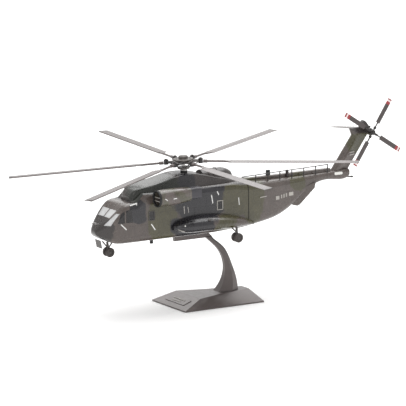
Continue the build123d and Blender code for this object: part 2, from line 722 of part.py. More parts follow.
def blade_hinge():
    """One hinge block with its upright pin and damper."""
    pin = rod((HINGE_RADIUS, 0, -2.4), (HINGE_RADIUS, 0, 1.8), 2.0)
    damper = rod((HINGE_RADIUS - 2.0, 2.6, -0.3), (HINGE_RADIUS - 8.0, 4.4, -0.3), 0.9)
    ear = block((HINGE_RADIUS - 2.6, HINGE_RADIUS - 0.6), (1.0, 3.2), (-1.2, 0.6))
    return pin + ear + damper - hub_arm() - hub_plate()


def swashplate():
    """The tilting ring round the mast below the hub."""
    ring = rod((0, 0, -6.6), (0, 0, -5.0), 5.4)
    return ring - rod((0, 0, -8), (0, 0, 0), MAST_RADIUS)


def pitch_rod():
    """One control rod from the swashplate up to a hinge."""
    return rod((4.9, -1.6, -5.2), (HINGE_RADIUS - 1.8, -1.9, -1.0), 0.45)


def blade_profile(x):
    """The blade's cut across its span: round nose, thin tail."""
    plane = Plane(origin=(x, 0, 0), x_dir=(0, 1, 0), z_dir=(1, 0, 0))
    quarter, half = 0.25 * MAIN_CHORD, 0.55
    front = [Spline((-quarter * 3, 0.12), (quarter * 0.2, half), (quarter, 0),
                    tangents=[(1, 0.1), (0, -1)]),
             Spline((quarter, 0), (quarter * 0.2, -half), (-quarter * 3, -0.12),
                    tangents=[(0, -1), (-1, 0.1)]),
             Line((-quarter * 3, -0.12), (-quarter * 3, 0.12))]
    return plane * make_face(front)


def main_blade(index):
    """One main blade with its cuff and shank, at its own droop."""
    shank = rod((HINGE_RADIUS + 2.2, 0, 0), (MAIN_BLADE_ROOT - 4.0, 0, 0), 0.95)
    sleeve = rod((HINGE_RADIUS + 2.2, 0, 0), (HINGE_RADIUS + 6.0, 0, 0), 1.5)
    cuff = loft([section(MAIN_BLADE_ROOT - 6.0, 0, 0, 2.0, 1.6, 0.7),
                 section(MAIN_BLADE_ROOT, -1.6, 0, 6.6, 0.9, 0.4)])
    foil = extrude(blade_profile(MAIN_BLADE_ROOT), amount=MAIN_RADIUS - MAIN_BLADE_ROOT)
    blade = Rot(BLADE_PITCH, 0, 0) * (foil + cuff) + shank + sleeve
    turn = Rot(0, 0, MAIN_PHASE + index * 360 / MAIN_BLADES)
    return turn * Rot(0, BLADE_DROOPS[index], 0) * blade


def mast_bearing():
    """The bush in the cowling that the mast turns in."""
    tube = rod((0, 0, -MAST_DEPTH - 0.5), (0, 0, -8.4), 3.0)
    return tube - rod((0, 0, -MAST_DEPTH - 2), (0, 0, 0), MAST_RADIUS + RUNNING_FIT)


# ---- tail rotor ------------------------------------------------------------
def tail_rotor_hub():
    """The tail rotor shaft, its hub and four blade grips."""
    shaft = rod((0, -8.4, 0), (0, 0, 0), TAIL_SHAFT_RADIUS)
    hub = rod((0, -1.3, 0), (0, 1.3, 0), 2.3) + rod((0, 1.3, 0), (0, 2.2, 0), 1.2)
    grip = rod((1.5, 0, 0), (9.6, 0, 0), 0.6) + block((3.4, 5.6), (-0.9, 0.9), (-0.9, 0.9))
    for index in range(TAIL_BLADES):
        hub += Rot(0, -(TAIL_PHASE + index * 360 / TAIL_BLADES), 0) * grip
    return shaft + hub


def tail_blade(index):
    """One tail blade with a square tip."""
    blade = block((9.6, TAIL_RADIUS), (-0.35, 0.35), (-TAIL_CHORD / 2, TAIL_CHORD / 2))
    blade = fillet(blade.edges().filter_by(Axis.X), 0.3)
    return Rot(0, -(TAIL_PHASE + index * 360 / TAIL_BLADES), 0) * blade


# ---- assembly --------------------------------------------------------------
def build_fuselage(outer):
    """The two skin halves, all glazing and the cockpit."""
    inner = cabin(WALL, CABIN_INNER_RADIUS) + tail_cone(WALL)
    skin = outer - inner
    panes = {
        "windshield": front_panes() + quarter_panes(),
        "cockpit_side_windows": side_panes() + chin_panes(),
        "cabin_windows": cabin_panes(),
    }
    solid_skin = skin
    for name, cutters in panes.items():
        for cutter in cutters:
            solid_skin -= cutter
        save(name, *[skin & cutter for cutter in cutters])
    for x in PEG_XS:
        solid_skin -= peg_hole(x)
    length = (BOOM_END_X - 1, NOSE_X + 2)
    save("fuselage_port_half", solid_skin & block(length, (0, 40), (-80, 0)))
    save("fuselage_starboard_half", solid_skin & block(length, (-40, 0), (-80, 0)))
    save("belly_sockets", *[peg_socket(x) for x in PEG_XS])
    save("cockpit_tub", cockpit_tub(inner))
    save("crew_seats", crew_seat(1), crew_seat(-1))


def build_upper_deck(outer):
    """Cowling, cooler, spine, engines and the mast bearing."""
    bearing = MAST_FRAME * mast_bearing()
    fairing = rotor_fairing(outer)
    hump = cooler_hump(fairing) - outer
    socket = MAST_FRAME * rod((0, 0, -MAST_DEPTH - 0.5), (0, 0, 0), 3.0)
    port = nacelle(outer, fairing)
    spine = shaft_cover(outer, fairing) - hump
    save("shaft_cover", spine)
    save("beacons", *beacons(outer, spine))
    save("mast_bearing", bearing)
    save("rotor_fairing", fairing - socket)
    save("cooler_hump", hump - socket)
    save("port_nacelle", port)
    save("starboard_nacelle", mirrored(port))
    for name, piece in (("exhaust_ducts", exhaust_duct()), ("intake_rings", intake_ring(outer)),
                        ("intake_cores", intake_core())):
        save(name, piece, mirrored(piece))


def build_tail(outer):
    """Fin, tailplane, gearbox, skid, ramp and fences."""
    pylon = tail_pylon(outer)
    housing = gearbox(pylon)
    save("tail_pylon", pylon)
    save("stabiliser", stabiliser() - pylon)
    save("tail_gearbox", housing)
    save("tail_bumper", tail_bumper() - outer - pylon)
    save("cargo_ramp", cargo_ramp())
    save("ramp_strakes", ramp_strake(1, outer), ramp_strake(-1, outer))


def build_fittings(outer):
    """Sponsons, struts, antennas, lamps and rails."""
    port = sponson(outer)
    leg = main_strut() - port
    save("port_sponson", port)
    save("starboard_sponson", mirrored(port))
    save("main_struts", leg, mirrored(leg))
    save("nose_strut", nose_strut() - outer)
    save("nose_gear_door", nose_gear_door() - outer)
    save("antenna_rail", antenna_rail(outer))
    save("blade_antennas", *blade_antennas(outer))
    save("side_lamps", *side_lamps(outer))
    save("grab_rails", *grab_rails(outer))
    save("nose_probes", *[probe - outer for probe in nose_probes()])


def build_main_rotor():
    """Everything that turns with the mast."""
    rotor = HUB_FRAME * MAST_FRAME
    save("rotor_mast", rotor_mast(), frame=rotor)
    save("rotor_hub", rotor_hub(), frame=rotor)
    save("beanie_cap", beanie_cap(), frame=rotor)
    rods = ring_of(pitch_rod(), MAIN_BLADES, MAIN_PHASE)
    save("swashplate", swashplate(), *rods, frame=rotor)
    save("blade_hinges", *ring_of(blade_hinge(), MAIN_BLADES, MAIN_PHASE), frame=rotor)
    for index in range(MAIN_BLADES):
        save(f"main_blade_{index + 1}", main_blade(index), frame=rotor)


def build_tail_rotor():
    """Everything that turns with the tail shaft."""
    rotor = HUB_FRAME * Location(TAIL_HUB)
    save("tail_rotor_hub", tail_rotor_hub(), frame=rotor)
    save("tail_blades", *[tail_blade(index) for index in range(TAIL_BLADES)], frame=rotor)


def build_wheels():
    """The three twin wheel sets."""
    x, y, z = MAIN_AXLE
    for name, centre in (("nose", NOSE_AXLE), ("port", MAIN_AXLE), ("starboard", (x, -y, z))):
        save(f"{name}_axle", twin_axle(centre))
        save(f"{name}_tyres", tyre(centre, 1), tyre(centre, -1))


fuselage_outside = cabin() + tail_cone()
build_stand()
build_fuselage(fuselage_outside)
build_upper_deck(fuselage_outside)
build_tail(fuselage_outside)
build_fittings(fuselage_outside)
build_main_rotor()
build_tail_rotor()
build_wheels()
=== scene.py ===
import json
import math

import bmesh
import bpy
from mathutils import Matrix, Vector


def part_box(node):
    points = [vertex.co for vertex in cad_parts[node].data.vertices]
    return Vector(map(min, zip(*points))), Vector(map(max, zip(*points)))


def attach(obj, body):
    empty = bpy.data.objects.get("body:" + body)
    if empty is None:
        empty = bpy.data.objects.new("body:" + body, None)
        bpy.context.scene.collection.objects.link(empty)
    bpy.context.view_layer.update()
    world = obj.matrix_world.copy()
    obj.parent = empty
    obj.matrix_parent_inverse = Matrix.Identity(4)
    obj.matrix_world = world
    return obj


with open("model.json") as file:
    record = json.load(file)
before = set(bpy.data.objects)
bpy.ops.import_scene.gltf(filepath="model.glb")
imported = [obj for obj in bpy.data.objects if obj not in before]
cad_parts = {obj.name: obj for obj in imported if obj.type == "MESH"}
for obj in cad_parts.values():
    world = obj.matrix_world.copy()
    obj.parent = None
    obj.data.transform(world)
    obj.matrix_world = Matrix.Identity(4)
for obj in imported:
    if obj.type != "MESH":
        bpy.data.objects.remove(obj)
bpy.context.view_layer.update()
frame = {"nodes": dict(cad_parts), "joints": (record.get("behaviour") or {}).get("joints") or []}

# Heavy transport helicopter display model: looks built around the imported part, in metres.
MM = 0.001
HUB = Vector(next(j["pos_m"] for j in frame["joints"] if j["name"] == "main_rotor_spin"))
TAIL_HUB = Vector(next(j["pos_m"] for j in frame["joints"] if j["name"] == "tail_rotor_spin"))
NODES = frame["nodes"]
SIDES = (("port", 1), ("starboard", -1))

BROWN, OLIVE, BLUE_GREY = (0.088, 0.071, 0.063), (0.066, 0.060, 0.031), (0.018, 0.017, 0.021)
DARK_BROWN, DECK_GREEN, DECK_BROWN = (0.030, 0.025, 0.023), (0.013, 0.015, 0.011), (0.045, 0.038, 0.036)
PALE, OFF_WHITE = (0.62, 0.61, 0.58), (0.86, 0.86, 0.84)


def at(x, y, z):
    """A point given in millimetres from the main rotor hub."""
    return HUB + Vector((x, y, z)) * MM


# ---- materials ---------------------------------------------------------------
class Shader:
    """Builds one node material."""

    def __init__(self, name, roughness=0.5, metallic=0.0, **sockets):
        self.material = bpy.data.materials.new(name)
        self.material.use_nodes = True
        self.tree = self.material.node_tree
        self.bsdf = self.tree.nodes["Principled BSDF"]
        self.bsdf.inputs["Roughness"].default_value = roughness
        self.bsdf.inputs["Metallic"].default_value = metallic
        for socket, value in sockets.items():
            self.bsdf.inputs[socket.replace("_", " ")].default_value = value

    def put(self, socket, value):
        """Feeds a link or a constant into a socket."""
        if isinstance(value, bpy.types.NodeSocket):
            self.tree.links.new(value, socket)
        elif isinstance(value, (tuple, list)) and len(value) == 3 and socket.type == "RGBA":
            socket.default_value = (*value, 1.0)
        else:
            socket.default_value = value

    def add(self, kind, *values, out=0, **settings):
        """Adds one node, sets its properties and its first inputs."""
        node = self.tree.nodes.new(kind)
        for key, value in settings.items():
            setattr(node, key, value)
        for socket, value in zip(node.inputs, values):
            if value is not None:
                self.put(socket, value)
        return node.outputs[out]

    def math(self, operation, a, b=0.0, c=0.0):
        return self.add("ShaderNodeMath", a, b, c, operation=operation)

    def vector(self, operation, a, b=(0, 0, 0)):
        return self.add("ShaderNodeVectorMath", a, b, operation=operation)

    def length(self, a):
        return self.add("ShaderNodeVectorMath", a, operation="LENGTH", out=1)

    def mix(self, factor, a, b):
        node = self.tree.nodes.new("ShaderNodeMix")
        node.data_type = "RGBA"
        self.put(node.inputs["Factor"], factor)
        self.put(node.inputs[6], a)
        self.put(node.inputs[7], b)
        return node.outputs[2]

    def ramp(self, value, low, high, start=0.0, end=1.0):
        """Maps a value from one range to another, clamped."""
        return self.add("ShaderNodeMapRange", value, low, high, start, end, clamp=True)

    def noise(self, vector, scale, detail=2.0):
        node = self.tree.nodes.new("ShaderNodeTexNoise")
        self.put(node.inputs["Vector"], vector)
        node.inputs["Scale"].default_value = scale
        node.inputs["Detail"].default_value = detail
        return node.outputs["Fac"]

    def place(self):
        """Position in millimetres from the rotor hub, at rest."""
        coordinates = self.add("ShaderNodeTexCoord", out=3)
        return self.vector("MULTIPLY", self.vector("SUBTRACT", coordinates, tuple(HUB)), (1 / MM,) * 3)

    def split(self, vector):
        node = self.tree.nodes.new("ShaderNodeSeparateXYZ")
        self.put(node.inputs[0], vector)
        return node.outputs

    def join(self, x, y, z):
        return self.add("ShaderNodeCombineXYZ", x, y, z)

    def bump(self, height, strength, distance=0.1):
        node = self.tree.nodes.new("ShaderNodeBump")
        node.inputs["Strength"].default_value = strength
        node.inputs["Distance"].default_value = distance * MM
        self.put(node.inputs["Height"], height)
        self.put(self.bsdf.inputs["Normal"], node.outputs[0])

    def finish(self, colour, grain, mottle=0.12, spread=0.08):
        """Colours the shader, with soft mottling and slightly uneven gloss."""
        cloud = self.noise(grain, 0.11, 4.0)
        shade = self.ramp(cloud, 0.3, 0.7, 1.0 - mottle, 1.0 + mottle)
        speck = self.ramp(self.noise(grain, 3.1, 2.0), 0.35, 0.65, 0.97, 1.03)
        scale = self.math("MULTIPLY", shade, speck)
        tinted = self.vector("MULTIPLY", colour, self.join(scale, scale, scale))
        self.put(self.bsdf.inputs["Base Color"], tinted)
        rough = self.bsdf.inputs["Roughness"].default_value
        uneven = self.noise(grain, 0.35, 3.0)
        self.put(self.bsdf.inputs["Roughness"],
                 self.ramp(uneven, 0.3, 0.7, rough - spread / 2, rough + spread / 2))
        return self.material


PATCHES = (              # colour, centre x, z, half-length, half-height, in mm from the hub
    (DARK_BROWN, 88.0, -50.0, 8.5, 13.0),
    (BLUE_GREY, 56.5, -36.0, 9.5, 10.5),
    (OLIVE, 32.0, -47.0, 14.5, 21.0),
    (BLUE_GREY, -8.0, -32.0, 29.0, 17.0),
    (BLUE_GREY, 4.0, -54.0, 21.0, 9.5),
    (OLIVE, -50.0, -38.0, 20.5, 27.0),
    (OLIVE, -30.0, -55.0, 13.0, 8.5),
    (BROWN, -44.0, -59.0, 9.0, 8.0),
    (OLIVE, -108.0, -28.0, 8.0, 7.5),
    (OLIVE, -176.0, -2.0, 14.0, 8.5),
    (DECK_BROWN, -182.0, 13.0, 17.0, 7.0),
)
DECK_PATCHES = (
    (DECK_GREEN, 38.0, -20.0, 25.0, 16.0),
    (BLUE_GREY, 6.0, -20.0, 9.5, 16.0),
)


def patch(shader, colour, base, warped, centre_x, centre_z, half_x, half_z):
    """Lays one camouflage patch with a slightly soft, wandering edge over a colour."""
    moved = shader.vector("SUBTRACT", warped, (centre_x, 0.0, centre_z))
    scaled = shader.vector("MULTIPLY", moved, (1 / half_x, 0.0, 1 / half_z))
    inside = shader.ramp(shader.length(scaled), 0.96, 1.06, 1.0, 0.0)
    return shader.mix(inside, base, colour)


def panel_lines(shader, place):
    """A mask of fine panel joints, running along and across the hull."""
    x, y, z = shader.split(place)
    rise = shader.math("SUBTRACT", z, shader.math("ABSOLUTE", y))
    brick = shader.tree.nodes.new("ShaderNodeTexBrick")
    shader.put(brick.inputs["Vector"], shader.join(x, rise, 0.0))
    for socket, value in (("Scale", 1.0), ("Mortar Size", 0.09), ("Mortar Smooth", 0.4),
                          ("Brick Width", 24.0), ("Row Height", 9.5)):
        brick.inputs[socket].default_value = value
    return brick.outputs["Fac"]


def rivets(shader, place):
    """A mask of small rivet heads in rows."""
    x, y, z = shader.split(place)
    rise = shader.math("SUBTRACT", z, shader.math("ABSOLUTE", y))
    across = shader.math("PINGPONG", x, 0.8)
    row = shader.math("PINGPONG", shader.math("SUBTRACT", rise, 0.9), 4.75)
    far = shader.math("SQRT", shader.math("ADD", shader.math("MULTIPLY", across, across),
                                          shader.math("MULTIPLY", row, row)))
    return shader.ramp(far, 0.1, 0.2, 1.0, 0.0)


def camouflage():
    """Three-tone satin paint of the airframe, with panel joints and rivets."""
    shader = Shader("camouflage_paint", roughness=0.27, Coat_Weight=0.3, Coat_Roughness=0.15)
    place = shader.place()
    x, y, z = shader.split(place)
    lean = shader.math("MULTIPLY", shader.math("SUBTRACT", y, 18.7), -0.3)
    wander = shader.ramp(shader.noise(place, 0.075, 3.0), 0.0, 1.0, -7.0, 7.0)
    drift = shader.ramp(shader.noise(shader.vector("ADD", place, (90.0, 40.0, 20.0)), 0.09, 3.0), 0.0, 1.0,
                        -6.0, 6.0)
    warped = shader.join(shader.math("ADD", shader.math("ADD", x, lean), wander), y,
                         shader.math("ADD", z, drift))
    colour = BROWN
    for tone, *shape in PATCHES:
        colour = patch(shader, tone, colour, warped, *shape)
    narrow = shader.ramp(shader.math("ABSOLUTE", y), 16.3, 16.6, 1.0, 0.0)
    high = shader.ramp(z, -29.5, -28.9, 0.0, 1.0)
    ahead = shader.ramp(x, -62.0, -58.0, 0.0, 1.0)
    behind = shader.ramp(x, 60.0, 61.0, 1.0, 0.0)
    on_deck = shader.math("MULTIPLY", shader.math("MULTIPLY", narrow, high),
                          shader.math("MULTIPLY", ahead, behind))
    deck = DECK_BROWN
    for tone, *shape in DECK_PATCHES:
        deck = patch(shader, tone, deck, warped, *shape)
    colour = shader.mix(on_deck, colour, deck)
    lines = panel_lines(shader, place)
    colour = shader.mix(shader.math("MULTIPLY", lines, 0.55), colour, (0.012, 0.011, 0.010))
    material = shader.finish(colour, mottle=0.14, grain=place)
    relief = shader.math("SUBTRACT", shader.math("MULTIPLY", rivets(shader, place), 0.35), lines)
    shader.bump(relief, 0.5)
    return material


def painted(name, colour, roughness=0.4, mottle=0.12, bump=0.12, metallic=0.0):
    """Plain satin paint with a faint orange-peel surface."""
    shader = Shader(name, roughness=roughness, metallic=metallic)
    place = shader.place()
    material = shader.finish(colour, mottle=mottle, grain=place)
    shader.bump(shader.noise(place, 1.7, 2.0), bump, 0.05)
    return material


def nacelle_paint():
    """Brown paint of the engine pods, with hoop joints and olive drifts."""
    shader = Shader("nacelle_paint", roughness=0.26, Coat_Weight=0.3, Coat_Roughness=0.15)
    place = shader.place()
    x = shader.split(place)[0]
    drift = shader.ramp(shader.noise(place, 0.10, 3.0), 0.45, 0.58, 0.0, 1.0)
    colour = shader.mix(drift, (0.125, 0.104, 0.096), (0.085, 0.079, 0.055))
    hoop = shader.ramp(shader.math("PINGPONG", shader.math("ADD", x, 3.0), 7.4), 0.08, 0.2, 1.0, 0.0)
    colour = shader.mix(shader.math("MULTIPLY", hoop, 0.5), colour, (0.02, 0.018, 0.016))
    material = shader.finish(colour, mottle=0.12, grain=place)
    shader.bump(shader.math("MULTIPLY", hoop, -1.0), 0.4)
    return material


def blade_paint():
    """Main blade paint: pocket joints across the span and a dark, worn tip."""
    shader = Shader("main_blade_paint", roughness=0.28, Coat_Weight=0.2)
    place = shader.place()
    radius = shader.length(shader.vector("MULTIPLY", place, (1.0, 1.0, 0.0)))
    joint = shader.ramp(shader.math("PINGPONG", radius, 5.6), 0.06, 0.16, 1.0, 0.0)
    tip = shader.ramp(radius, 148.6, 149.0, 0.0, 1.0)
    colour = shader.mix(tip, (0.130, 0.108, 0.104), (0.075, 0.064, 0.060))
    colour = shader.mix(shader.math("MULTIPLY", joint, 0.4), colour, (0.06, 0.05, 0.05))
    material = shader.finish(colour, mottle=0.10, grain=place)
    shader.bump(shader.math("MULTIPLY", joint, -1.0), 0.3)
    return material


TAIL_TIP = 33.7                     # radius of the tail blades, mm
TAIL_BLADE_BROWN = (0.075, 0.062, 0.060)
BANDS = ((TAIL_TIP - 5.4, (0.34, 0.045, 0.05)), (TAIL_TIP - 2.7, (0.85, 0.74, 0.73)),
         (TAIL_TIP - 1.2, (0.30, 0.05, 0.05)))


def tail_blade_paint():
    """Dark tail blades with red and white tip bands."""
    shader = Shader("tail_blade_paint", roughness=0.38)
    place = shader.place()
    offset = tuple((TAIL_HUB - HUB) / MM)
    radius = shader.length(shader.vector("MULTIPLY", shader.vector("SUBTRACT", place, offset),
                                         (1.0, 0.0, 1.0)))
    colour = TAIL_BLADE_BROWN
    for start, tone in BANDS:
        colour = shader.mix(shader.ramp(radius, start - 0.08, start + 0.08, 0.0, 1.0), colour, tone)
    material = shader.finish(colour, mottle=0.06, grain=place)
    shader.bump(shader.noise(place, 1.5, 2.0), 0.1, 0.05)
    return material


def stand_metal():
    """Satin metallic lacquer of the stand, with a fine cast grain."""
    shader = Shader("stand_lacquer", roughness=0.32, metallic=0.35, Coat_Weight=0.25, Coat_Roughness=0.2)
    place = shader.place()
    material = shader.finish(shader.mix(shader.noise(place, 0.05, 2.0), (0.085, 0.070, 0.066),
                                        (0.110, 0.092, 0.088)), mottle=0.08, grain=place)
    shader.bump(shader.noise(place, 4.0, 3.0), 0.10, 0.04)
    return material


def rubber():
    """Tyre rubber with circumferential grooves and dusty shading."""
    shader = Shader("tyre_rubber", roughness=0.75)
    place = shader.place()
    y = shader.split(place)[1]
    groove = shader.ramp(shader.math("PINGPONG", y, 0.4), 0.05, 0.12, 1.0, 0.0)
    dust = shader.noise(place, 0.6, 4.0)
    colour = shader.mix(dust, (0.045, 0.038, 0.035), (0.085, 0.072, 0.068))
    material = shader.finish(colour, mottle=0.1, grain=place)
    shader.bump(shader.math("MULTIPLY", groove, -1.0), 0.5)
    return material


def glazing():
    """Clear moulded panes with a faint haze, coloured near white as a painted reflection of the bright
    surroundings seen in them and through them.
    """
    shader = Shader("glazing_painted_reflection", roughness=0.06, Alpha=0.6, IOR=1.49)
    place = shader.place()
    haze_and_painted_light = shader.ramp(shader.noise(place, 0.4, 3.0), 0.3, 0.7, 0.0, 1.0)
    # Painted reflection: the near-white base colour stands in for the bright surroundings reflected in the
    # panes and seen through them; the haze noise only varies it a little.
    shader.put(shader.bsdf.inputs["Base Color"], shader.mix(haze_and_painted_light, (0.80, 0.81, 0.81), (0.88, 0.88, 0.88)))
    shader.put(shader.bsdf.inputs["Roughness"], shader.ramp(haze_and_painted_light, 0.0, 1.0, 0.04, 0.09))
    return shader.material


def shade_glazing():
    """Dark panes of the cabin and the cockpit sides, tinted near black as painted shade of the unlit
    interior behind them.
    """
    shader = Shader("painted_shade_glazing", roughness=0.08, Alpha=0.9, IOR=1.49)
    place = shader.place()
    haze_and_painted_light = shader.noise(place, 0.4, 3.0)
    # Painted shade: the near-black tint stands in for the unlit cabin and cockpit seen through the panes;
    # the haze noise varies it a little.
    shade_tint = shader.mix(haze_and_painted_light, (0.020, 0.019, 0.020), (0.035, 0.033, 0.034))
    shader.put(shader.bsdf.inputs["Base Color"], shade_tint)
    shader.put(shader.bsdf.inputs["Roughness"], shader.ramp(haze_and_painted_light, 0.0, 1.0, 0.05, 0.12))
    return shader.material


PAINT = camouflage()
NACELLE = nacelle_paint()
EXHAUST = painted("exhaust_paint", (0.052, 0.050, 0.058), 0.38)
BLADE = blade_paint()
TAIL_BLADE = tail_blade_paint()
STAND = stand_metal()
TYRE = rubber()
CLEAR = glazing()
SHADE_GLAZING = shade_glazing()
HUB_METAL = painted("rotor_head_metal", (0.115, 0.105, 0.098), 0.38, metallic=0.25)
HUB_DARK = painted("rotor_head_dark", (0.030, 0.027, 0.026), 0.42)
STEEL = painted("turned_steel", (0.42, 0.41, 0.40), 0.28, metallic=0.9)
GEAR = painted("undercarriage_paint", (0.062, 0.054, 0.050), 0.36)
BLACK = painted("matt_black", (0.012, 0.012, 0.012), 0.6)
COCKPIT = painted("cockpit_grey", (0.050, 0.052, 0.050), 0.6)
SEAT = painted("seat_moulding", (0.040, 0.036, 0.030), 0.65)
MARK = painted("marking_white", OFF_WHITE, 0.4, mottle=0.04)
MARK_PALE = painted("marking_pale", (0.42, 0.40, 0.37), 0.5, mottle=0.08)
LAMP_PALE = painted("lamp_pale", (0.80, 0.80, 0.76), 0.2, mottle=0.03)
LAMP_DARK = painted("lamp_dark", (0.020, 0.012, 0.012), 0.15)
SEAM = painted("seam_dark", (0.016, 0.014, 0.013), 0.5)
FRAME_PAINT = painted("window_frame_paint", (0.075, 0.068, 0.064), 0.4)

NODE_MATERIALS = {
    # The windshield gets the glazing with the painted reflection.
    "clear": (CLEAR, ("windshield",)),
    # Cabin and cockpit side panes get the glazing with the painted shade of the interior.
    "shade_glazing": (SHADE_GLAZING, ("cockpit_side_windows", "cabin_windows")),
    "stand": (STAND, ("base_shell", "title_plate", "stand_arm", "cradle_bar")),
    "black": (BLACK, ("base_bottom_plate", "intake_cores", "intake_rings", "belly_sockets", "mast_bearing",
                      "blade_antennas")),
    "steel": (STEEL, ("base_screws", "support_pegs", "rotor_mast", "nose_probes")),
    "tyre": (TYRE, ("nose_tyres", "port_tyres", "starboard_tyres")),
    "gear": (GEAR, ("nose_axle", "port_axle", "starboard_axle", "nose_strut", "main_struts", "tail_bumper",
                    "nose_gear_door")),
    "nacelle": (NACELLE, ("port_nacelle", "starboard_nacelle")),
    "exhaust": (EXHAUST, ("exhaust_ducts",)),
    "blades": (BLADE, tuple(f"main_blade_{i}" for i in range(1, 7))),
    "tail blades": (TAIL_BLADE, ("tail_blades",)),
    "head": (HUB_METAL, ("beanie_cap", "rotor_hub", "swashplate")),
    "head dark": (HUB_DARK, ("blade_hinges", "tail_rotor_hub", "antenna_rail")),
    "cockpit": (COCKPIT, ("cockpit_tub",)),
    "seats": (SEAT, ("crew_seats",)),
    "lamps": (LAMP_PALE, ("side_lamps",)),
    "beacons": (LAMP_DARK, ("beacons",)),
    "rails": (MARK, ("grab_rails",)),
}


def dress_nodes():
    """Gives every CAD node its material; the rest of the airframe is camouflaged."""
    chosen = {node: material for material, nodes in NODE_MATERIALS.values() for node in nodes}
    for name, obj in NODES.items():
        obj.data.materials.clear()
        obj.data.materials.append(chosen.get(name, PAINT))


# ---- mesh helpers --------------------------------------------------------------
def piece(name, mesh, material, body="airframe", smooth=True):
    """Makes a mesh object, rides it on a body and gives it its material."""
    obj = bpy.data.objects.new(name, mesh)
    bpy.context.scene.collection.objects.link(obj)
    mesh.materials.append(material)
    if smooth:
        for polygon in mesh.polygons:
            polygon.use_smooth = True
    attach(obj, body)
    return obj


def from_bmesh(name, work):
    """Turns a bmesh into a mesh and frees it."""
    bmesh.ops.recalc_face_normals(work, faces=work.faces)
    mesh = bpy.data.meshes.new(name)
    work.to_mesh(mesh)
    work.free()
    return mesh


def add_slab(work, corners, normal, thickness, bevel=0.0):
    """Adds a flat plate with the given outline, raised along a normal."""
    low = [work.verts.new(corner) for corner in corners]
    high = [work.verts.new(corner + normal * thickness) for corner in corners]
    count = len(corners)
    faces = [work.faces.new(low[::-1]), work.faces.new(high)]
    for i in range(count):
        j = (i + 1) % count
        faces.append(work.faces.new((low[i], low[j], high[j], high[i])))
    if bevel > 0:
        rim = list(faces[1].edges)
        bmesh.ops.bevel(work, geom=rim, offset=bevel, segments=2, affect="EDGES", profile=0.6)


def add_tube(work, points, radius, sides=10):
    """Adds a round tube along a polyline, closed at both ends."""
    rings = []
    for index, point in enumerate(points):
        before = points[max(index - 1, 0)]
        after = points[min(index + 1, len(points) - 1)]
        direction = (after - before).normalized()
        turn = direction.to_track_quat("Z", "Y").to_matrix()
        ring = []
        for step in range(sides):
            angle = 2 * math.pi * step / sides
            spoke = Vector((math.cos(angle), math.sin(angle), 0)) * radius
            ring.append(work.verts.new(point + turn @ spoke))
        rings.append(ring)
    for first, second in zip(rings, rings[1:]):
        for i in range(sides):
            j = (i + 1) % sides
            work.faces.new((first[i], first[j], second[j], second[i]))
    work.faces.new(rings[0][::-1])
    work.faces.new(rings[-1])


def profile_mm(*steps):
    """A turned profile given in millimetres."""
    return [(along * MM, radius * MM) for along, radius in steps]


def add_turned(work, centre, axis, profile, sides=32):
    """Adds a turned shape: profile lists (distance along the axis, radius)."""
    turn = Vector(axis).to_track_quat("Z", "Y").to_matrix()
    rings = []
    for along, radius in profile:
        ring = []
        for step in range(sides):
            angle = 2 * math.pi * step / sides
            local = Vector((math.cos(angle) * radius, math.sin(angle) * radius, along))
            ring.append(work.verts.new(centre + turn @ local))
        rings.append(ring)
    for first, second in zip(rings, rings[1:]):
        for i in range(sides):
            j = (i + 1) % sides
            work.faces.new((first[i], first[j], second[j], second[i]))
    work.faces.new(rings[0][::-1])
    work.faces.new(rings[-1])


def add_frame(work, middle, across, up, size, band, thickness, corner=0.9):
    """Adds a window frame: a band round a rounded rectangle."""
    normal = across.cross(up).normalized()
    loops = []
    for inset in (0.0, band):
        width, height = size[0] / 2 - inset, size[1] / 2 - inset
        radius = max(corner - inset, 0.15)
        loop = []
        for quarter in range(4):
            sign_x = (1, -1, -1, 1)[quarter]
            sign_y = (1, 1, -1, -1)[quarter]
            for step in range(5):
                angle = math.pi / 2 * (quarter + step / 4)
                flat = Vector((sign_x * (width - radius) + radius * math.cos(angle),
                               sign_y * (height - radius) + radius * math.sin(angle)))
                loop.append(middle + (across * flat.x + up * flat.y) * MM)
        loops.append(loop)
    lift = normal * thickness * MM
    outer, inner = loops
    rows = [[work.verts.new(point) for point in row]
            for row in (outer, [p + lift for p in outer], [p + lift for p in inner], inner)]
    count = len(outer)
    for first, second in zip(rows, rows[1:] + rows[:1]):
        for i in range(count):
            j = (i + 1) % count
            work.faces.new((first[i], first[j], second[j], second[i]))


def add_dash(work, start, end, normal, width, thickness):
    """Adds one straight raised dash between two points."""
    along = (end - start).normalized()
    side = along.cross(normal).normalized() * width * MM / 2
    corners = [start - side, end - side, end + side, start + side]
    add_slab(work, corners, normal, thickness * MM, bevel=0.08 * MM)


# ---- airframe details ------------------------------------------------------------
SKIN_Y = 18.7
DASHES = (((73.3, -45.2), (67.9, -50.4), 0.9), ((43.4, -47.9), (39.4, -53.6), 0.9),
          ((-17.0, -28.8), (-18.3, -36.4), 0.9), ((-22.9, -26.4), (-24.4, -29.6), 0.9),
          ((-44.4, -34.0), (-45.0, -40.6), 0.7))
FAINT_DASHES = (((10.6, -36.0), (10.2, -42.5), 0.8), ((6.8, -36.5), (6.0, -42.0), 0.6))


WINDOW_FRAME_SIZE = (6.2, 8.6)
CABIN_WINDOWS = (                   # name, middle x, middle z, paint, width of the frame's band
    ("aft", -25.4, -38.8, MARK_PALE, 0.7),
    ("fore", 42.8, -40.8, FRAME_PAINT, 0.8),
)


def skin_point(x, z, side):
    """A point on the flat cabin side."""
    return at(x, SKIN_Y * side, z)


